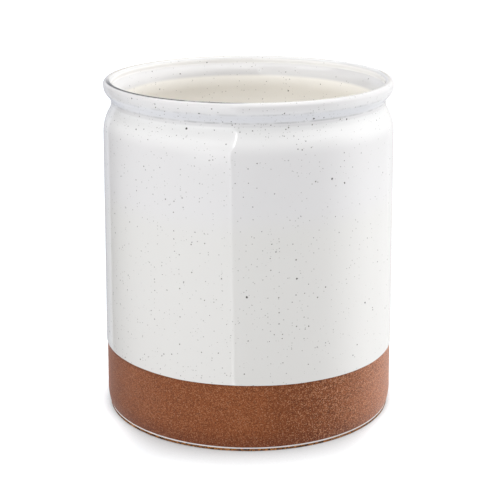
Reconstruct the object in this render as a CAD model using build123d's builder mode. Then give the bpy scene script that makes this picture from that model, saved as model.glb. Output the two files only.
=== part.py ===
from build123d import *
import os

# Ceramic utensil crock: clay body with a rolled lip and a drawn-in neck, glazed above a bare clay band.
# Millimetres, +Z up. The origin is the centre of the cork's underside, where the crock stands.

# Cork pad and the pale bonding film that holds it under the body
cork_thickness = 1.2
film_thickness = 0.7
pad_setback = 0.15

# Clay body, measured on its bare outer face: overall, foot and heel
body_height = 174.35
body_radius = 76.4
wall_thickness = 3.6
floor_thickness = 6.0
floor_corner_round = 11.0
heel_height = 7.7
heel_setback = 1.05
foot_edge_round = 0.4

# Steps of the outer face from the heel up to the lip: how far in or out, how far up, and the rounds
wall_taper = 1.85
shoulder_setback = 5.65
shoulder_rise = 10.3
lip_overhang = 5.15
lip_rise = 6.05
lip_band = 4.6
shoulder_round = 23.0
neck_round = 6.6
lip_round = 5.55

# Glaze coats
glaze_thickness = 0.45
glaze_line_height = 35.2
glaze_line_tilt = 0.5
glaze_edge_share = 0.6

# Share of each side of an outline that stays straight between its rounds, at the least
straight_share = 0.05

underside_height = cork_thickness + film_thickness
floor_height = underside_height + floor_thickness
heel_top = underside_height + heel_height
lip_height = body_height - lip_band
neck_height = lip_height - lip_rise
shoulder_height = neck_height - shoulder_rise
foot_radius = body_radius - heel_setback
pad_radius = foot_radius - pad_setback
shoulder_radius = body_radius - wall_taper
neck_radius = shoulder_radius - shoulder_setback
lip_radius = neck_radius + lip_overhang
crest_round = wall_thickness / 2
crest_centre = (lip_radius - crest_round, body_height - crest_round)
quarter_turn = 90


def side_ways(corners):
    """Unit directions of the sides of an open line of corners."""
    return [(Vector(*end) - Vector(*start)).normalized() for start, end in zip(corners, corners[1:])]


def fitting_rounds(corners, rounds):
    """The rounds of a line's inner corners, each limited to what the two sides beside it can hold."""
    ways = side_ways(corners)
    sides = [(Vector(*end) - Vector(*start)).length for start, end in zip(corners, corners[1:])]
    half_turns = [abs(a.cross(b).Z) / (1 + a.dot(b)) for a, b in zip(ways, ways[1:])]
    reaches = [0] + [r * half_turn for r, half_turn in zip(rounds, half_turns)] + [0]
    limits = [side * (1 - straight_share) for side in sides]
    room = [min(1, limit / (a + b)) for limit, a, b in zip(limits, reaches, reaches[1:])]
    return [r * min(before, after) for r, before, after in zip(rounds, room, room[1:])]


def parallel(corners, rounds, gap):
    """Corners and rounds of the line at a gap to the left of the given one, as it runs.

    Each corner moves along the bisector of its two sides. Left turns lose the gap from
    their round and right turns gain it, so both lines keep the same arc centres.
    """
    ways = side_ways(corners)
    lefts = [Vector(-way.Y, way.X) for way in ways]
    middles = [(a + b) / (1 + a.dot(b)) for a, b in zip(lefts, lefts[1:])]
    shifts = [lefts[0]] + middles + [lefts[-1]]
    moved = [Vector(*corner) + shift * gap for corner, shift in zip(corners, shifts)]
    turns = [a.cross(b).Z for a, b in zip(ways, ways[1:])]
    moved_rounds = [r - gap if turn > 0 else r + gap for r, turn in zip(rounds, turns)]
    return [(point.X, point.Y) for point in moved], moved_rounds


def coat_outline(corners, rounds, gap, crest_start):
    """Draws the section of a glaze coat on a wall line and on one quarter of the lip's crest."""
    face = FilletPolyline(*corners, radius=rounds)
    skin_corners, skin_rounds = parallel(corners, rounds, gap)
    skin = FilletPolyline(*skin_corners, radius=skin_rounds)
    CenterArc(crest_centre, crest_round, crest_start, quarter_turn)
    CenterArc(crest_centre, crest_round + glaze_thickness, crest_start, quarter_turn)
    Line((crest_centre[0], body_height), (crest_centre[0], body_height + glaze_thickness))
    Line(face @ 1, skin @ 1)


# The outer face of the wall, from the lip down to the top of the heel
outside = [
    (lip_radius, crest_centre[1]),
    (lip_radius, lip_height),
    (neck_radius, neck_height),
    (shoulder_radius, shoulder_height),
    (body_radius, heel_top),
]
outside_rounds = fitting_rounds(outside, [lip_round, neck_round, shoulder_round])

# The inner face runs parallel to it down to the floor, and from there in to the axis
inside, inside_rounds = parallel(outside, outside_rounds, -wall_thickness)
wall_top = Vector(*inside[-2])
wall_foot = Vector(*inside[-1])
share_to_floor = (wall_top.Y - floor_height) / (wall_top.Y - wall_foot.Y)
floor_corner = wall_top + (wall_foot - wall_top) * share_to_floor
inside = inside[:-1] + [(floor_corner.X, floor_height), (0, floor_height)]
inside_rounds = inside_rounds + [floor_corner_round]

# Clay body: foot, heel, floor, wall, drawn-in neck and round-crested lip in one piece
with BuildPart() as clay_body:
    with BuildSketch(Plane.XZ) as body_section:
        with BuildLine() as body_outline:
            outer_face = FilletPolyline(*outside, radius=outside_rounds)
            inner_face = FilletPolyline(*inside, radius=inside_rounds)
            CenterArc(crest_centre, crest_round, 0, 2 * quarter_turn)
            heel = TangentArc(outer_face @ 1, (foot_radius, underside_height), tangent=outer_face % 1)
            Polyline(heel @ 1, (0, underside_height), inner_face @ 1)
        make_face()
    revolve(axis=Axis.Z)
    underside_edges = clay_body.edges().group_by(Axis.Z)[0]
    fillet(underside_edges.sort_by(SortBy.LENGTH)[-1], foot_edge_round)

# Outer glaze: from the crest down to a dipped line that runs slightly out of level
glaze_line = Plane.XY.offset(glaze_line_height).rotated((0, glaze_line_tilt, 0))
with BuildPart() as outer_glaze:
    with BuildSketch(Plane.XZ) as outer_glaze_section:
        with BuildLine() as outer_glaze_outline:
            coat_outline(outside, outside_rounds, glaze_thickness, 0)
        make_face()
    revolve(axis=Axis.Z)
    split(bisect_by=glaze_line, keep=Keep.TOP)
    glaze_end = outer_glaze.faces().sort_by(Axis.Z)[0]
    fillet(glaze_end.edges().sort_by(SortBy.LENGTH)[-1], glaze_thickness * glaze_edge_share)

# Liner glaze: the coat poured over the inside wall and floor, meeting the outer coat on the crest
with BuildPart() as liner_glaze:
    with BuildSketch(Plane.XZ) as liner_glaze_section:
        with BuildLine() as liner_glaze_outline:
            coat_outline(inside, inside_rounds, -glaze_thickness, quarter_turn)
        make_face()
    revolve(axis=Axis.Z)

# Bonding film: the pale layer between the clay and the cork
with BuildPart() as bonding_film:
    with BuildSketch(Plane.XY.offset(cork_thickness)):
        Circle(pad_radius)
    extrude(amount=film_thickness)

# Cork pad: the disc that the crock stands on
with BuildPart() as cork_pad:
    with BuildSketch():
        Circle(pad_radius)
    extrude(amount=cork_thickness)

clay_body.part.label = "clay_body"
outer_glaze.part.label = "outer_glaze"
liner_glaze.part.label = "liner_glaze"
bonding_film.part.label = "bonding_film"
cork_pad.part.label = "cork_pad"

os.makedirs("parts", exist_ok=True)
for piece in (clay_body, outer_glaze, liner_glaze, bonding_film, cork_pad):
    export_step(piece.part, f"parts/{piece.part.label}.step")
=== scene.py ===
import math

import bpy
import numpy as np
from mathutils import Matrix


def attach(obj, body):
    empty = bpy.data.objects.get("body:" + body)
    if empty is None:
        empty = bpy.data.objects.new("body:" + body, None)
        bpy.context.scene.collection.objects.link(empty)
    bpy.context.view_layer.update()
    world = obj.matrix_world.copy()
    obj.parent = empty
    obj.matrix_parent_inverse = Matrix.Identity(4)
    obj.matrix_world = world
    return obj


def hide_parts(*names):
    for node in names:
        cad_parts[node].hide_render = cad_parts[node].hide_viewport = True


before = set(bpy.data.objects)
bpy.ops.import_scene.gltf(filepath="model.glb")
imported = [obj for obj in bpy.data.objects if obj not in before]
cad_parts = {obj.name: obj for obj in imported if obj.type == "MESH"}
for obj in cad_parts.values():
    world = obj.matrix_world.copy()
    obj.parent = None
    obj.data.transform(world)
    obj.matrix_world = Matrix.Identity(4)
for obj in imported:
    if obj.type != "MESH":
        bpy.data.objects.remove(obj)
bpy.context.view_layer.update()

# Ceramic utensil crock on a pale table. Lengths are in millimetres of the real object, and every
# mesh is written in metres in the frame's own place. +Z is up and the camera looks along +Y.
MM = 0.001
AROUND = 480
SHARP_OVER = math.radians(40)

# The crock's own sizes. Shoulder, neck and lip are corners of the wall: radius, height and round.
cork_thickness = 1.2
film_thickness = 0.7
foot_radius = 75.35
foot_edge_round = 0.4
pad_radius = 75.2
heel_top = 9.6
body_radius = 76.4
shoulder = (74.55, 153.4, 23.0)
neck = (68.9, 163.7, 6.6)
lip = (74.05, 169.75, 5.55)
crest_height = 174.35
wall_thickness = 3.6
glaze_thickness = 0.45
floor_height = 7.9
floor_corner_round = 11.0
glaze_line_height = 35.2
glaze_line_tilt = math.radians(0.5)
underside = cork_thickness + film_thickness
crest_round = wall_thickness / 2
crest_centre = np.array([lip[0] - crest_round, crest_height - crest_round])

# The outer skin stays a little inside its solid, and ends in a round bead at the dipped line
skin_inset = 0.02
bead_round = glaze_thickness * 0.9

# Heights over the dipped line: up to where the coat's end is given point by point, the points of
# its run down to the bead, its inner corner, and how far the clay's fine points reach under the
# glaze
coat_end = 2.5
coat_run = (2.0, 1.5, 1.0, 0.7)
coat_corner = 1.0
clay_under_glaze = 4.0

# Closed waves round the crock: their numbers, phases and heights
LINE_WAVES = ((3, 5, 9, 17, 31), (0.6, 2.1, 4.0, 1.3, 5.2), (0.10, 0.07, 0.05, 0.03, 0.015))
CORK_WAVES = ((131, 173, 211), (0.4, 1.9, 3.3), (0.03, 0.03, 0.03))
FILM_WAVES = ((11, 23, 37), (0.9, 2.2, 4.4), (0.03, 0.02, 0.01))

# Heights over which shape changes fade out: at the dipped line, and of the sponging marks, whose
# depth is half of what the marks take off
line_fade = 20.0
sponge_fade = 3.0
sponge_depth = 0.025

# Longest sides that the profiles are divided into
SEEN_SIDE = 3.0
LINER_SIDE = 4.0
CLAY_SIDE = 0.8
HIDDEN_SIDE = 12.0


# Profiles: arrays of (radius, height) points

def arc(centre, radius, start, end, step=8.0):
    """Points of an arc: centre + radius * (cos t, sin t), with t in degrees in even steps."""
    count = max(2, int(abs(end - start) / step) + 1)
    t = np.radians(np.linspace(start, end, count))
    return np.column_stack([centre[0] + radius * np.cos(t), centre[1] + radius * np.sin(t)])


def rounded_line(corners, rounds, arc_step=3.0):
    """A line of corners whose inner corners are rounded.

    The tangent points lie round * tan(half the turn) from the corner, the arc's centre lies on
    the corner's bisector at round / cos(half the turn), and the arc is walked in even angles.
    """
    corners = np.asarray(corners, float)
    pieces = [corners[:1]]
    for before, corner, after, radius in zip(corners, corners[1:], corners[2:], rounds):
        a = (before - corner) / np.linalg.norm(before - corner)
        b = (after - corner) / np.linalg.norm(after - corner)
        half = math.acos(float(np.clip(a @ b, -1, 1))) / 2
        middle = (a + b) / np.linalg.norm(a + b)
        centre = corner + middle * radius / math.sin(half)
        first = corner + a * radius / math.tan(half) - centre
        last = corner + b * radius / math.tan(half) - centre
        turn = math.pi - 2 * half
        side = np.sign(first[0] * last[1] - first[1] * last[0])
        t = side * np.linspace(0, turn, max(3, int(math.degrees(turn) / arc_step)))
        pieces.append(np.column_stack([
            centre[0] + first[0] * np.cos(t) - first[1] * np.sin(t),
            centre[1] + first[0] * np.sin(t) + first[1] * np.cos(t),
        ]))
    pieces.append(corners[-1:])
    return np.vstack(pieces)


def divided(line, longest):
    """The line with every side over the given length divided evenly, so that none is longer."""
    sides = np.linalg.norm(np.diff(line, axis=0), axis=1)
    counts = np.maximum(1, np.ceil(sides / longest).astype(int))
    steps = [i + np.arange(n) / n for i, n in enumerate(counts)]
    places = np.concatenate(steps + [[len(line) - 1]])
    index = np.arange(len(line))
    return np.column_stack([np.interp(places, index, line[:, side]) for side in (0, 1)])


def parallel_corners(corners, gap):
    """Corners of the line at a gap to its left.

    Each corner moves along the bisector of its sides' left normals a and b, (a + b) / (1 + a.b).
    """
    corners = np.asarray(corners, float)
    ways = np.diff(corners, axis=0)
    ways /= np.linalg.norm(ways, axis=1)[:, None]
    lefts = np.column_stack([-ways[:, 1], ways[:, 0]])
    spread = 1 + np.sum(lefts[:-1] * lefts[1:], axis=1)
    middles = (lefts[:-1] + lefts[1:]) / spread[:, None]
    return corners + np.vstack([lefts[:1], middles, lefts[-1:]]) * gap


wall_corners = np.array([
    (lip[0], crest_centre[1]),
    lip[:2],
    neck[:2],
    shoulder[:2],
    (body_radius, heel_top),
])


def wall_face(gap):
    """The wall's face at a gap outside the bare clay, or inside it where the gap is negative."""
    rounds = [lip[2] + gap, neck[2] - gap, shoulder[2] + gap]
    return rounded_line(parallel_corners(wall_corners, gap), rounds)


def cup_face(gap):
    """The wall's face at a gap, from the crest down and then over the floor to the axis."""
    line = wall_face(gap)
    floor = floor_height - wall_thickness - gap
    top, foot = line[-2], line[-1]
    corner = top + (foot - top) * (top[1] - floor) / (top[1] - foot[1])
    corner_round = floor_corner_round + wall_thickness + gap
    bottom = rounded_line([top, corner, (0, floor)], [corner_round], 6.0)
    return np.vstack([line[:-1], bottom[1:]])


def over_crest(line, gap, start, end):
    """The line led on from an arc round the lip's crest, at a gap outside the clay."""
    return np.vstack([arc(crest_centre, crest_round + gap, start, end), line[1:]])


def outer_coat_profile():
    """Ring round the outer coat: down its skin, round the bead, and back up on the clay."""
    skin = divided(wall_face(glaze_thickness - skin_inset), SEEN_SIDE)
    skin = over_crest(skin, glaze_thickness, 90, 0)
    face = over_crest(divided(wall_face(0.0), HIDDEN_SIDE), 0.0, 90, 0)
    lowest = glaze_line_height + coat_end
    slope = (body_radius - shoulder[0]) / (shoulder[1] - heel_top)
    edge = body_radius - slope * (glaze_line_height - heel_top)
    outer = edge + glaze_thickness - skin_inset
    run = np.array([(outer, glaze_line_height + up) for up in coat_run])
    bead = arc((outer - bead_round, glaze_line_height + bead_round), bead_round, 0, -90, 10.0)
    corner = np.array([(edge, glaze_line_height), (edge, glaze_line_height + coat_corner)])
    skin = skin[skin[:, 1] > lowest]
    face = face[face[:, 1] > lowest]
    return np.vstack([skin, run, bead, corner, face[::-1]])


def liner_profile():
    """From the axis under the liner up the clay's inner face, over the crest and down its skin."""
    face = over_crest(divided(cup_face(-wall_thickness), HIDDEN_SIDE), 0.0, 90, 180)
    skin = divided(cup_face(-wall_thickness - glaze_thickness), LINER_SIDE)
    return np.vstack([face[::-1], over_crest(skin, glaze_thickness, 90, 180)])


def clay_profile():
    """From the axis on the floor up the inside, over the crest, down the wall, heel and foot.

    The heel is an arc that leaves the wall line at its tangent and ends at the foot. Its radius is
    chord^2 / (2 * the chord's share across the wall line).
    """
    inside = divided(cup_face(-wall_thickness), HIDDEN_SIDE)
    top = arc(crest_centre, crest_round, 180, 0)
    outside = wall_face(0.0)
    upper = divided(outside[:-1], HIDDEN_SIDE)
    band = divided(outside[-2:], CLAY_SIDE)
    band = band[band[:, 1] < glaze_line_height + clay_under_glaze]

    heel_start = np.array([body_radius, heel_top])
    chord = heel_start - np.array([foot_radius, underside])
    way = np.array([body_radius - shoulder[0], heel_top - shoulder[1]])
    way /= np.linalg.norm(way)
    normal = np.array([way[1], -way[0]])
    heel_round = (chord @ chord) / (2 * abs(chord @ normal))
    centre = heel_start + normal * heel_round * np.sign(-(chord @ normal))
    start = math.degrees(math.atan2(heel_top - centre[1], body_radius - centre[0]))
    end = math.degrees(math.atan2(underside - centre[1], foot_radius - centre[0]))
    heel = arc(centre, heel_round, start, end, 1.0)
    heel = heel[heel[:, 1] > underside + foot_edge_round]
    edge_centre = (foot_radius - foot_edge_round, underside + foot_edge_round)
    foot = arc(edge_centre, foot_edge_round, 0, -90, 15.0)
    down = [top, upper[1:], band[1:], heel[1:], foot, [(0, underside)]]
    return np.vstack([inside[::-1], *down])


def disc_profile(low, high, edge):
    """A pad with softened rims: out from the axis underneath, up its edge and back on top."""
    under = arc((pad_radius - edge, low + edge), edge, -90, 0, 22.5)
    over = arc((pad_radius - edge, high - edge), edge, 0, 90, 22.5)
    steps = np.linspace(low + edge, high - edge, 5)[1:-1]
    side = np.column_stack([np.full(len(steps), pad_radius), steps])
    return np.vstack([[(0, low)], under, side, over, [(0, high)]])


# Surfaces

def waves(a, counts, phases, heights):
    """A closed wavy line round the crock: the sum of heights * sin(count * a + phase)."""
    return sum(h * np.sin(n * a + p) for n, p, h in zip(counts, phases, heights))


def line_height(r, a):
    """Height of the dipped line: level but for its tilt and a slight unevenness."""
    tilted = glaze_line_height - r * np.cos(a) * math.tan(glaze_line_tilt)
    return tilted + waves(a, *LINE_WAVES)


def at_dipped_line(r, z, a):
    """Carries the coat's lower end to the dipped line; the shift fades out 20 mm above it."""
    near = np.clip((glaze_line_height + line_fade - z) / line_fade, 0, 1)
    near = near * near * (3 - 2 * near)
    return r, z + (line_height(r, a) - glaze_line_height) * near


def hand_finished(r, z, a):
    """Faint sponging marks on the bare band: r shrinks by up to 0.05 mm in long shallow waves.

    The mark is sin(7 a + 0.31 z) * sin(0.9 z + 2 sin 2a) - 1, from -2 to 0.
    """
    on_band = np.clip((glaze_line_height - 1.0 - z) / sponge_fade, 0, 1)
    on_band = on_band * np.clip((z - underside) / sponge_fade, 0, 1)
    mark = np.sin(7 * a + z * 0.31) * np.sin(z * 0.9 + 2.0 * np.sin(2 * a)) - 1
    return r + np.where(r > foot_radius - 2, sponge_depth * mark * on_band, 0), z


def worn_back(r, a, counts, phases, heights):
    """The radius r, made wavy at the pad's edge by waves that only go inwards."""
    change = waves(a, counts, phases, heights) - sum(heights)
    return np.where(r > pad_radius - 0.2, r + change, r)


def crumbly(r, z, a):
    """The cork's cut edge: granules stand back by up to 0.18 mm in short waves of a + z."""
    return worn_back(r, a + z, *CORK_WAVES), z


def squeezed(r, z, a):
    """The film's pressed-out edge: r shrinks by up to 0.12 mm in long uneven waves."""
    return worn_back(r, a, *FILM_WAVES), z


def revolved(name, profile, shape=None):
    """Surface of revolution over the profile's points s and the angle a about the vertical axis.

    A point is (r(s) cos a, r(s) sin a, z(s)), and shape(r, z, a) may change r and z. A profile
    that starts and ends on the axis closes on two single points there; any other profile is a
    closed ring. A clockwise profile is walked backwards, so that the faces point outwards.
    """
    ahead = np.roll(profile, -1, axis=0)
    if np.sum(profile[:, 0] * ahead[:, 1] - ahead[:, 0] * profile[:, 1]) < 0:
        profile = profile[::-1]
    on_axis = profile[0, 0] == 0
    ring = profile[1:-1] if on_axis else profile
    a = np.arange(AROUND) * 2 * np.pi / AROUND
    r = np.repeat(ring[:, :1], AROUND, axis=1)
    z = np.repeat(ring[:, 1:], AROUND, axis=1)
    if shape:
        r, z = shape(r, z, a[None, :])
    points = np.stack([r * np.cos(a), r * np.sin(a), z], axis=-1).reshape(-1, 3)
    rows = len(ring)
    index = np.arange(rows * AROUND).reshape(rows, AROUND)
    beside = np.roll(index, -1, axis=1)
    if on_axis:
        quads = np.stack([index[:-1], beside[:-1], beside[1:], index[1:]], axis=-1)
        points = np.vstack([points, [[0, 0, profile[0, 1]], [0, 0, profile[-1, 1]]]])
        first = np.stack([np.full(AROUND, len(points) - 2), beside[0], index[0]], axis=-1)
        last = np.stack([np.full(AROUND, len(points) - 1), index[-1], beside[-1]], axis=-1)
        faces = quads.reshape(-1, 4).tolist() + first.tolist() + last.tolist()
    else:
        below = np.roll(index, -1, axis=0)
        beside_below = np.roll(beside, -1, axis=0)
        faces = np.stack([index, beside, beside_below, below], axis=-1).reshape(-1, 4).tolist()
    piece = meshed(name, points, faces)
    piece.data.polygons.foreach_set("use_smooth", np.ones(len(faces), bool))
    piece.data.set_sharp_from_angle(angle=SHARP_OVER)
    return piece


def meshed(name, points, faces):
    """An object in the scene with the points, in millimetres, and the faces."""
    mesh = bpy.data.meshes.new(name)
    mesh.from_pydata((points * MM).tolist(), [], faces)
    mesh.update()
    piece = bpy.data.objects.new(name, mesh)
    bpy.context.collection.objects.link(piece)
    return piece


# Shader maths

class Value:
    """An output of a shader node. Arithmetic on it adds Math nodes to the same material."""

    def __init__(self, shader, socket):
        self.shader = shader
        self.socket = socket

    def _math(self, operation, *values):
        return self.shader.node("ShaderNodeMath", {"operation": operation}, *values)

    def __add__(self, other):
        return self._math("ADD", self, other)

    def __radd__(self, other):
        return self._math("ADD", other, self)

    def __sub__(self, other):
        return self._math("SUBTRACT", self, other)

    def __rsub__(self, other):
        return self._math("SUBTRACT", other, self)

    def __mul__(self, other):
        return self._math("MULTIPLY", self, other)

    def __rmul__(self, other):
        return self._math("MULTIPLY", other, self)

    def __truediv__(self, other):
        return self._math("DIVIDE", self, other)

    def __gt__(self, other):
        return self._math("GREATER_THAN", self, other)

    def __lt__(self, other):
        return self._math("LESS_THAN", self, other)

    def root(self):
        return self._math("SQRT", self)

    def angle(self, along):
        """The angle whose tangent is this value over the other, all the way round."""
        return self._math("ARCTAN2", self, along)

    def between(self, low, high):
        """0 at or below low, 1 at or above high, and a smooth step from one to the other."""
        return self.shader.node("ShaderNodeMapRange", {"interpolation_type": "SMOOTHSTEP"},
            Value=self, **{"From Min": low, "From Max": high})

    def band(self, rise, full, fade, end):
        """0 up to rise, 1 from full to fade and 0 again from end on, with smooth steps."""
        return self.between(rise, full) * (1 - self.between(fade, end))

    def near(self, place, full, gone):
        """1 up to the distance full from a place, and 0 from the distance gone on."""
        return 1 - self._math("ABSOLUTE", self - place).between(full, gone)


def named_input(made, key):
    """The input with that identifier, or else with that name."""
    return next((put for put in made.inputs if put.identifier == key), None) or made.inputs[key]


class Shader:
    """A material or world whose nodes are made by one method."""

    def __init__(self, owner):
        owner.use_nodes = True
        self.tree = owner.node_tree
        self.tree.nodes.clear()

    def node(self, kind, settings=None, *values, output=0, **named):
        """Adds a node, makes its settings first, then fills its inputs by place or by name."""
        made = self.tree.nodes.new(kind)
        for key, setting in (settings or {}).items():
            if key == "stops":
                ramp = made.color_ramp
                for i, (place, colour) in enumerate(setting):
                    stop = ramp.elements[i] if i < 2 else ramp.elements.new(place)
                    stop.position = place
                    stop.color = colour
            else:
                setattr(made, key, setting)
        for key, value in list(enumerate(values)) + list(named.items()):
            target = made.inputs[key] if isinstance(key, int) else named_input(made, key)
            if isinstance(value, Value):
                self.tree.links.new(value.socket, target)
            else:
                target.default_value = value
        return Value(self, made.outputs[output]) if made.outputs else made

    def split(self, value, kind="ShaderNodeSeparateXYZ"):
        """The three parts of a vector or colour."""
        return [self.node(kind, {}, value, output=i) for i in range(3)]

    def where(self):
        """The place on the object, in metres."""
        return self.node("ShaderNodeTexCoord", {}, output="Object")

    def millimetres(self, where):
        """The three parts of a place, in millimetres."""
        return [part / MM for part in self.split(where)]

    def noise(self, where, scale, detail=2.0, roughness=0.5):
        return self.node("ShaderNodeTexNoise", {},
            Vector=where, Scale=scale, Detail=detail, Roughness=roughness)

    def cells(self, where, scale, output, feature="F1"):
        return self.node("ShaderNodeTexVoronoi", {"feature": feature},
            Vector=where, Scale=scale, output=output)

    def vector(self, operation, *values, **named):
        return self.node("ShaderNodeVectorMath", {"operation": operation}, *values, **named)

    def mix(self, factor, one, other):
        """The colour one where the factor is 0 and the other where it is 1."""
        return self.node("ShaderNodeMix", {"data_type": "RGBA"}, factor, output=2,
            **{"A_Color": one, "B_Color": other})

    def layered(self, colour, *layers):
        """The colour with each (factor, colour) laid over it in turn."""
        for factor, over in layers:
            colour = self.mix(factor, colour, over)
        return colour

    def bump(self, height, distance, strength):
        """A normal that follows the height; the distance is in millimetres."""
        return self.node("ShaderNodeBump", {},
            Height=height, Distance=distance * MM, Strength=strength)


def rgb(r, g, b):
    """A display colour of 0 to 255 as the linear colour that a shader takes."""
    shares = (r / 255, g / 255, b / 255)
    linear = [c / 12.92 if c <= 0.04045 else ((c + 0.055) / 1.055) ** 2.4 for c in shares]
    return (*linear, 1.0)


def new_shader(name):
    material = bpy.data.materials.new(name)
    return material, Shader(material)


def finish_material(shader, **inputs):
    principled = shader.node("ShaderNodeBsdfPrincipled", {}, **inputs)
    shader.node("ShaderNodeOutputMaterial", {}, principled)


# Finishes. Their heights, distances and speck sizes are in millimetres.

def specks(shader, where, cell, size, density, seed):
    """Mineral specks: round grains of uneven size in some cells of a 3-D cell pattern.

    The cells' edges are warped a little, a cell holds a grain with the chance density, and a grain
    is 0.35 to 1 times the size. The value is 1 inside a grain.
    """
    warp_scale, warp_reach, smallest = 2.2, 0.9, 0.35
    moved = shader.vector("ADD", where, (seed, seed * 2.0, seed * 3.0))
    warp = shader.node("ShaderNodeTexNoise", {},
        Vector=moved, Scale=warp_scale / (size * MM), Detail=1.0, output="Color")
    warp = shader.vector("SUBTRACT", warp, (0.5, 0.5, 0.5))
    warp = shader.vector("SCALE", warp, Scale=size * MM * warp_reach)
    place = shader.vector("ADD", moved, warp)
    near = shader.cells(place, 1 / (cell * MM), "Distance")
    lot = shader.cells(place, 1 / (cell * MM), "Color")
    chance, bulk, _ = shader.split(lot, "ShaderNodeSeparateColor")
    reach = (smallest + bulk * (1 - smallest)) * (size / cell)
    return (chance < density) * (1 - (near / reach).between(0.55, 1.0))


# Level lines of painted crease shade, and the neck: height, and the distances up to which they are
# full and fade out
UPPER_LINE = (169.1, 0.16, 0.8)
LOWER_LINE = (164.7, 0.14, 0.7)
NECK = (164.0, 2.0, 12.0)

# Bands of painted light and shade on the glaze as heights: where each rises, is full, fades and
# ends
LIT_SHOULDER_BAND = (149.0, 157.0, 162.2, 163.4)
SHADED_NECK_BAND = (164.0, 166.0, 168.0, 170.0)
LIT_UNDER_RIM_BAND = (170.7, 171.6, 173.1, 174.0)

# Bands round the crest as radii, above the crest's foot
CREST_TINT = (71.1, 71.6, 72.3, 73.2)
CREST_DARK_LINE = (71.0, 71.4, 72.9, 73.6)
CREST_FOOT = 173.5

# Where the crest has a thin dark line: directions from the axis, with the share of them at which
# it starts and is full. On the far right its bands sit further out.
NEAR_LEFT = (-0.68, -0.73)
NEAR_LEFT_SHARE = (0.66, 0.88)
FAR_RIGHT = (0.85, 0.53)
FAR_RIGHT_SHARE = (0.93, 0.99)
FAR_RIGHT_SHIFT = 1.3

# Glaze colours
NECK_SHADE_BLUISH = rgb(208, 208, 212)
SHOULDER_LIGHT_PALE = rgb(229, 228, 227)
CREASE_SHADE_GREY = rgb(120, 118, 118)
UNDER_RIM_LIGHT_WHITE = rgb(250, 249, 247)
CREST_BROWN = rgb(172, 158, 136)
DARK_OLIVE = rgb(48, 48, 40)

# Specks of the glaze: cell, size, share of cells that hold one where the glaze is plain and how
# much that grows where they gather, seed, depth of colour, colour
GLAZE_SPECKS = (
    (1.3, 0.38, 0.20, 0.28, 0.13, 0.60, rgb(118, 113, 108)),
    (2.1, 0.50, 0.20, 0.30, 0.37, 0.85, rgb(92, 87, 82)),
    (6.0, 0.80, 0.16, 0.24, 0.71, 0.95, rgb(52, 48, 45)),
)


def glazed(name, pale, cream, change, outside):
    """Glossy off-white glaze with fine grey-brown mineral specks, creamier below the change. In
    the liner the lower tone is also lighter, as painted light against the shade inside.

    Outside (1, inside 0) the specks gather in the neck, where two level lines of painted crease
    shade run darker, and between them the glaze is painted bluish as shade and reflection under
    the lip; on the shoulder below, a pale band is painted light. Inside, a pale band under the rim
    is painted light. The crest is faintly brown, and on its near left and far right it has a thin
    dark line.
    """
    material, shader = new_shader(name)
    where = shader.where()
    x, y, z = shader.millimetres(where)
    # Below the change the tone is creamier; in the liner it is also lighter, as painted light
    # against the shade inside
    deep = 1 - z.between(*change)
    crease_lines = (z.near(*UPPER_LINE) * 0.5 + z.near(*LOWER_LINE)) * outside
    # Painted crease shade: the level lines, broken up, in grey
    crease_shade = crease_lines * shader.noise(where, 170.0).between(0.34, 0.64)
    colour = shader.layered(
        shader.mix(deep * 0.92 + shader.noise(where, 28.0, 3.0) * 0.08, pale, cream),
        # Painted shade and bluish reflection in the neck under the lip
        (z.band(*SHADED_NECK_BAND) * outside * 0.70, NECK_SHADE_BLUISH),
        # Painted light: a pale band on the shoulder
        (z.band(*LIT_SHOULDER_BAND) * outside * 0.80, SHOULDER_LIGHT_PALE),
        # Painted crease shade along the level lines
        (crease_shade * 0.34, CREASE_SHADE_GREY),
        # Painted light: a pale band under the rim inside
        (z.band(*LIT_UNDER_RIM_BAND) * (1 - outside) * 0.90, UNDER_RIM_LIGHT_WHITE),
    )

    # Specks gather in the neck, on the crease lines and in clouds, and thin out to the right as
    # painted light, where the sheen hides them
    in_neck = z.near(*NECK) * outside
    clouds = shader.noise(where, 60.0).between(0.42, 0.72)
    gather = in_neck + clouds * 0.5 + crease_lines * 1.2
    share = (0.75 + outside * 0.40) * (1 - x.between(20.0, 55.0) * 0.45)
    for cell, size, plain, growth, seed, depth, speck in GLAZE_SPECKS:
        grains = specks(shader, where, cell, size, (plain + gather * growth) * share, seed)
        colour = shader.mix(grains * depth, colour, speck)

    # The crest's faint tint is stronger at the back
    out = (x * x + y * y).root()
    near_left = ((x * NEAR_LEFT[0] + y * NEAR_LEFT[1]) / out).between(*NEAR_LEFT_SHARE)
    far_right = ((x * FAR_RIGHT[0] + y * FAR_RIGHT[1]) / out).between(*FAR_RIGHT_SHARE)
    at_back = (y / out).between(-0.10, 0.30)
    radius = out - far_right * FAR_RIGHT_SHIFT
    on_crest = z > CREST_FOOT
    tint = radius.band(*CREST_TINT) * on_crest * (0.20 + at_back * 0.30)
    # A thin dark olive line on the crest's near left and far right
    dark_line = radius.band(*CREST_DARK_LINE) * on_crest * (near_left * 0.95 + far_right * 0.75)
    dark_line = dark_line * shader.noise(where, 90.0).between(0.10, 0.40)
    finish_material(shader, **{
        "Base Color": shader.layered(colour, (tint, CREST_BROWN), (dark_line, DARK_OLIVE)),
        "Roughness": 0.014 + shader.noise(where, 40.0) * 0.016 + dark_line * 0.2,
        "IOR": 1.55,
        "Normal": shader.bump(shader.noise(where, 30.0, 1.0), 0.05, 0.2),
    })
    return material


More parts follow.
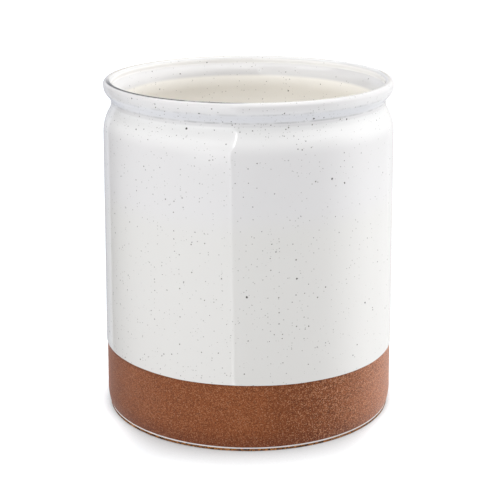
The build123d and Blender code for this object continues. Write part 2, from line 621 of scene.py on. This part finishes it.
# The clay: heights of the darker band under the glaze and of the one at the foot, and the places
# from left to right of its painted shade, its painted light and its coarser grain
DARKER_UNDER_GLAZE = (33.5, 35.2)
DARKER_TOWARD_FOOT_ENDS = (3.0, 14.0)
SHADE_RIGHT_OF_MIDDLE = (2.0, 18.0, 30.0, 52.0)
LEFT_SHADE_ENDS = (-76.0, -58.0)
LIT_RIGHT_SIDE = (46.0, 74.0)
COARSENS_AND_GLINTS = (5.0, 45.0)

# Clay colours
CLAY_TONES = (rgb(130, 72, 41), rgb(136, 76, 43))
DARK_RED_CLAY = rgb(104, 50, 30)
PAINTED_SHADE_BROWN = rgb(92, 42, 20)
PAINTED_LIGHT_ORANGE = rgb(196, 118, 74)
DARK_GRAIN, PALE_GRAIN = rgb(56, 28, 16), rgb(206, 144, 104)
DARK_SAND, PALE_SAND = rgb(50, 24, 14), rgb(216, 160, 122)
DARK_SPECK, PALE_SPECK = rgb(48, 28, 18), rgb(222, 178, 148)
WARM_SHINE = (1.0, 0.42, 0.24, 1.0)
WARM_SHEEN = (1.0, 0.42, 0.26, 1.0)


def terracotta():
    """Bare fired clay: sandy grain with pale and dark grains, and a warm satin shine.

    It is darker and redder in a narrow band under the glaze line and towards the foot. Painted
    shade makes it darker at the far left and right of the middle, painted light makes it paler at
    the far right, and its grain is coarser on the right, where its added pale grains are partly
    painted glints.
    """
    material, shader = new_shader("bare_terracotta")
    where = shader.where()
    x, _, z = shader.millimetres(where)
    grain = shader.noise(where, 2500.0, 2.0, 0.7)
    sand = shader.split(shader.cells(where, 2400.0, "Color"), "ShaderNodeSeparateColor")[0]
    patches = shader.noise(where, 45.0, 3.0)
    # Darker and redder under the glaze line and towards the foot
    darker_bands = z.between(*DARKER_UNDER_GLAZE) * 0.6 + (1 - z.between(*DARKER_TOWARD_FOOT_ENDS)) * 0.7
    # Painted shade: darker right of the middle and at the far left
    painted_shade = x.band(*SHADE_RIGHT_OF_MIDDLE) * 0.38 + (1 - x.between(*LEFT_SHADE_ENDS)) * 0.45
    # Coarser grain on the right; its added pale grains and pale sand there are partly painted
    # glints
    coarse_and_glints = x.between(*COARSENS_AND_GLINTS)
    pale = specks(shader, where, 0.8, 0.30, 0.25 + coarse_and_glints * 0.50, 0.21)
    dark = specks(shader, where, 0.8, 0.28, 0.35 + coarse_and_glints * 0.40, 0.53)
    colour = shader.layered(
        shader.mix(patches.between(0.3, 0.7), *CLAY_TONES),
        (darker_bands, DARK_RED_CLAY),
        (painted_shade, PAINTED_SHADE_BROWN),
        # Painted light: paler and oranger at the far right
        (x.between(*LIT_RIGHT_SIDE) * 0.60, PAINTED_LIGHT_ORANGE),
        ((1 - grain.between(0.38, 0.50)) * 0.45, DARK_GRAIN),
        (grain.between(0.52, 0.64) * 0.25, PALE_GRAIN),
        ((1 - sand.between(0.14, 0.24)) * (0.45 + coarse_and_glints * 0.30), DARK_SAND),
        (sand.between(0.78, 0.88) * (0.24 + coarse_and_glints * 0.28), PALE_SAND),
        (pale * (0.25 + coarse_and_glints * 0.25), PALE_SPECK),
        (dark * 0.90, DARK_SPECK),
    )
    finish_material(shader, **{
        "Base Color": colour,
        "Roughness": 0.34 + grain * 0.14,
        "Specular IOR Level": 0.50,
        "Specular Tint": WARM_SHINE,
        "Diffuse Roughness": 0.5,
        "Sheen Weight": 0.15,
        "Sheen Roughness": 0.35,
        "Sheen Tint": WARM_SHEEN,
        "Normal": shader.bump(grain + pale * 0.5, 0.12, 0.9),
    })
    return material


# Film and cork colours
FILM_TONES = (rgb(226, 222, 220), rgb(240, 238, 238))
DARK_CORK = rgb(60, 34, 16)
BROWN_CORK = rgb(146, 92, 44)
GOLDEN_CORK = rgb(186, 124, 64)
CORK_SEAM = rgb(44, 24, 12)
CORK_GRANULES_PER_METRE = 900.0


def pale_film():
    """Dried adhesive: a pale, slightly cloudy layer."""
    material, shader = new_shader("pale_bonding_film")
    where = shader.where()
    cloud = shader.noise(where, 220.0, 3.0)
    finish_material(shader, **{
        "Base Color": shader.mix(cloud, *FILM_TONES),
        "Roughness": 0.35 + cloud * 0.2,
        "Normal": shader.bump(cloud, 0.08, 0.6),
    })
    return material


def pressed_cork():
    """Pressed cork: golden granules with brown ones between them, and nearly black seams."""
    material, shader = new_shader("pressed_cork")
    where = shader.where()
    lots = shader.cells(where, CORK_GRANULES_PER_METRE, "Color")
    lot = shader.split(lots, "ShaderNodeSeparateColor")[0]
    seams = shader.cells(where, CORK_GRANULES_PER_METRE, "Distance", "DISTANCE_TO_EDGE")
    colour = shader.layered(
        shader.mix(lot.between(0.0, 0.55), DARK_CORK, BROWN_CORK),
        (lot.between(0.55, 1.0), GOLDEN_CORK),
        ((1 - seams.between(0.0, 0.12)) * 0.8, CORK_SEAM),
    )
    finish_material(shader, **{
        "Base Color": colour,
        "Roughness": 0.85 - lot * 0.1,
        "Normal": shader.bump(seams, 0.2, 0.8),
    })
    return material


# Pieces

def place(piece, node, slot, finish):
    piece.data.materials.append(finish)
    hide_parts(node)
    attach(piece, "root")


# The coats' upper and lower tones, and the heights from where to where one gives way to the other
OUTER_TONES = (rgb(213, 211, 211), rgb(213, 211, 208), (108.0, 124.0))
# The liner's lower tone is creamier and also lighter than its glaze, as painted light against the
# shade inside the crock
LINER_TONES_AND_PAINTED_LIGHT = (rgb(217, 216, 216), rgb(254, 251, 245), (163.8, 165.8))

outer_coat = revolved("glaze_coat_outside", outer_coat_profile(), at_dipped_line)
outer_finish = glazed("speckled_glaze", *OUTER_TONES, outside=1.0)
place(outer_coat, "outer_glaze", "speckled_glaze", outer_finish)

liner_coat = revolved("glaze_coat_inside", liner_profile())
liner_finish = glazed("liner_glaze", *LINER_TONES_AND_PAINTED_LIGHT, outside=0.0)
place(liner_coat, "liner_glaze", "liner_glaze", liner_finish)

clay = revolved("clay_crock_body", clay_profile(), hand_finished)
place(clay, "clay_body", "terracotta", terracotta())

film = revolved("bonding_film_layer", disc_profile(cork_thickness, underside, 0.12), squeezed)
place(film, "bonding_film", "bonding_film", pale_film())

cork = revolved("cork_base_pad", disc_profile(0.0, cork_thickness, 0.15), crumbly)
place(cork, "cork_pad", "cork", pressed_cork())


# Table, studio and camera

TABLE_AROUND = 96
TABLE_RINGS = np.array([0.2, 0.6, 1.5, 4.0, 9.0]) / MM

# The contact shadow on it: how far it reaches, how much less at the sides, and how dark it is
SHADOW_REACH = 0.041
SIDE_REACH_LOSS = 0.027
SIDE_CLEARING = 0.13
SHADOW_RANGE = (0.45, 1.0)
SHADOW_DEPTH = 0.15

# Its own colour as a matte top, its white glow to the camera, more at the sides, and its polish
TABLE_COLOUR = (0.785, 0.805, 0.82, 1)
GLOW, SIDE_GLOW = 0.28, 0.30
POLISH = 0.95
WHITE = (1, 1, 1, 1)
BLACK = (0, 0, 0, 1)


def table():
    """A wide round table top: points (r cos a, r sin a, 0) on rings round one centre point.

    The camera sees it white with a soft contact shadow round the foot, narrower and lighter at the
    crock's sides. It lights the crock as a matte top, and as a mirror at low angles only.
    """
    a = np.arange(TABLE_AROUND) * 2 * np.pi / TABLE_AROUND
    points = [np.column_stack([r * np.cos(a), r * np.sin(a), 0 * a]) for r in TABLE_RINGS]
    index = 1 + np.arange(len(TABLE_RINGS) * TABLE_AROUND).reshape(-1, TABLE_AROUND)
    beside = np.roll(index, -1, axis=1)
    inner = np.stack([np.zeros(TABLE_AROUND, int), index[0], beside[0]], axis=-1)
    outer = np.stack([index[:-1], index[1:], beside[1:], beside[:-1]], axis=-1).reshape(-1, 4)
    top = meshed("table_top", np.vstack([[[0, 0, 0]], *points]), inner.tolist() + outer.tolist())

    material, shader = new_shader("white_table")
    seen = shader.node("ShaderNodeLightPath", output="Is Camera Ray")
    mirrored = shader.node("ShaderNodeLightPath", output="Is Glossy Ray")
    x, y, _ = shader.split(shader.where())
    aside = (x * x / (x * x + y * y)).between(0.20, 0.85)
    clear = shader.node("ShaderNodeAmbientOcclusion", {"samples": 8},
        Distance=SHADOW_REACH - aside * SIDE_REACH_LOSS, output="AO")
    clear = (clear + aside * SIDE_CLEARING).between(*SHADOW_RANGE)
    tone = shader.mix(seen * (1 - clear) * SHADOW_DEPTH, TABLE_COLOUR, BLACK)
    matte = shader.node("ShaderNodeBsdfDiffuse", {}, Color=tone)
    glow = shader.node("ShaderNodeEmission", {},
        Color=WHITE, Strength=seen * clear * (GLOW + aside * SIDE_GLOW))
    lit = shader.node("ShaderNodeAddShader", {}, matte, glow)
    gloss = shader.node("ShaderNodeBsdfGlossy", {},
        Color=(POLISH, POLISH, POLISH, 1), Roughness=0.02)
    facing = shader.node("ShaderNodeLayerWeight", {}, Blend=0.5, output="Facing")
    polish = mirrored * facing.between(0.35, 0.60) * POLISH
    shader.node("ShaderNodeOutputMaterial", {},
        shader.node("ShaderNodeMixShader", {}, polish, lit, gloss))
    top.data.materials.append(material)


# Brightness of the studio all round, in three rings one above the other, as (degrees to the right
# of the camera, level). In the low ring a tall pale panel stands at the left, a dark gap behind
# the camera, and a broad window at the right. Above the panel hangs a soft box.
LOW_RING = (
    (-180, 0.85), (-153, 0.75), (-143, 0.85), (-142, 0.06), (-128, 0.06), (-127, 0.13),
    (-115, 0.45), (-100, 1.10), (-85, 1.60), (-60, 2.05), (-40, 2.20), (-13.9, 2.20),
    (-13.5, 0.34), (-5, 0.25), (20, 0.0), (45, 0.0), (60, 0.35), (75, 1.90), (90, 2.90),
    (105, 3.10), (120, 2.40), (150, 1.60), (180, 0.90))
MIDDLE_RING = (
    (-180, 1.20), (-150, 0.90), (-120, 0.85), (-90, 1.60), (-60, 2.10), (-40, 2.40),
    (-25, 2.60), (-13.9, 2.60), (-13.5, 0.45), (0, 0.35), (20, 0.35), (40, 0.80), (60, 2.30),
    (80, 3.20), (105, 3.20), (120, 2.60), (150, 1.60), (180, 1.20))
HIGH_RING = (
    (-180, 1.00), (-150, 0.48), (-120, 0.20), (-90, 0.80), (-60, 1.20), (-30, 1.60),
    (-13.9, 1.70), (-13.4, 0.80), (10, 0.50), (30, 0.70), (60, 2.20), (80, 2.80), (105, 2.70),
    (120, 2.00), (150, 1.30), (180, 1.00))
RING_SCALE = 6.0
STUDIO_LEVEL = 0.745
CEILING = 2.8

# Heights in the studio, as the sine of the angle above the table: from where to where one part
# gives way to the next
FOOT_ENDS = (0.17, 0.21)
PANEL_ENDS = (0.375, 0.44)
BOX_ENDS = (0.50, 0.58)
RINGS_END = (0.72, 0.76)
CORNER_ENDS = (0.88, 0.91)
TUBE_ENDS = (0.86, 0.90)
TUBE_BRIGHTENS = (0.33, 0.37)
LEANS = (0.12, 0.48)

# Turns in the studio, in degrees to the right of the camera, and the levels of what stands there
LEAN = 3.3
PANEL_EDGE = (-13.9, -13.5)
FOOT_STARTS = (-60, -30)
FOOT_LEVEL = 1.6
CORNER_STARTS = (-70, -55)
CORNER_DEPTH = 0.9
TUBE = (-15.9, -15.3, -13.9, -13.6)
TUBE_LEVELS = (0.5, 5.0, 2.0)
BACKDROP_ENDS = (-143, -142)
BACKDROP_TINT = (0.93, 0.96, 1.06, 1)


def ring(shader, turn, levels):
    """The level at a turn from -180 to 180 degrees, on straight lines between the given ones."""
    stops = [((turned + 180) / 360, (*[level / RING_SCALE] * 3, 1)) for turned, level in levels]
    return shader.node("ShaderNodeValToRGB", {"stops": stops}, turn / 360 + 0.5) * RING_SCALE


def studio():
    """Pale soft light from all round. The camera itself sees plain white.

    The panel and the box lean to the right as they rise. The ceiling has a dark corner over them,
    the panel's foot is brighter, and a bare tube along its right edge glows from a third of the
    height up.
    """
    world = bpy.data.worlds.new("pale_studio")
    bpy.context.scene.world = world
    shader = Shader(world)
    right, behind, up = shader.split(shader.node("ShaderNodeTexCoord", {}, output="Generated"))
    turn = right.angle(behind * -1) * (180 / math.pi)
    leaned = turn - up.between(*LEANS) * LEAN
    above_panel = up.between(*PANEL_ENDS)
    above_box = up.between(*BOX_ENDS)
    above_rings = up.between(*RINGS_END)
    corner = leaned.band(*CORNER_STARTS, *PANEL_EDGE) * (1 - up.between(*CORNER_ENDS))
    foot = leaned.band(*FOOT_STARTS, *PANEL_EDGE) * (1 - up.between(*FOOT_ENDS))
    tube = leaned.band(*TUBE) * (1 - up.between(*TUBE_ENDS))
    dim, glow, high_glow = TUBE_LEVELS
    level = (
        ring(shader, leaned, LOW_RING) * (1 - above_panel)
        + ring(shader, leaned, MIDDLE_RING) * above_panel * (1 - above_box)
        + ring(shader, leaned, HIGH_RING) * above_box * (1 - above_rings)
        + above_rings * CEILING * (1 - corner * CORNER_DEPTH)
        + foot * FOOT_LEVEL
        + tube * (dim + up.between(*TUBE_BRIGHTENS) * glow + above_box * high_glow)
    ) * STUDIO_LEVEL
    seen = shader.node("ShaderNodeLightPath", output="Is Camera Ray")
    tint = shader.mix(1 - turn.between(*BACKDROP_ENDS), WHITE, BACKDROP_TINT)
    light = shader.node("ShaderNodeBackground", {},
        Color=shader.mix(seen, tint, WHITE), Strength=level + seen * (1 - level))
    shader.node("ShaderNodeOutputWorld", {}, light)


# The photograph's camera, fitted to the crock's outlines
FRAME_PIXELS = 500
FOCAL_PIXELS = 1381.3
AXIS_COLUMN = 248.46
SENSOR_WIDTH = 36.0
LOOK_DOWN = 0.2910
ROLL = 0.0003
EYE = (0.0, -0.70493, 0.29315)


def camera():
    """The photograph's view: 705 mm in front of the crock's axis and 293 mm up, looking down."""
    lens = bpy.data.cameras.new("camera")
    lens.sensor_width = SENSOR_WIDTH
    lens.sensor_fit = "HORIZONTAL"
    lens.lens = FOCAL_PIXELS / FRAME_PIXELS * SENSOR_WIDTH
    lens.clip_start = 0.01
    lens.clip_end = 50.0
    eye = bpy.data.objects.new("camera", lens)
    bpy.context.collection.objects.link(eye)
    eye.location = EYE
    aside = math.atan2(FRAME_PIXELS / 2 - AXIS_COLUMN, FOCAL_PIXELS)
    eye.rotation_euler = (math.pi / 2 - LOOK_DOWN, ROLL, -aside)
    bpy.context.scene.camera = eye


table()
studio()
camera()
bpy.context.scene.view_settings.view_transform = "Standard"
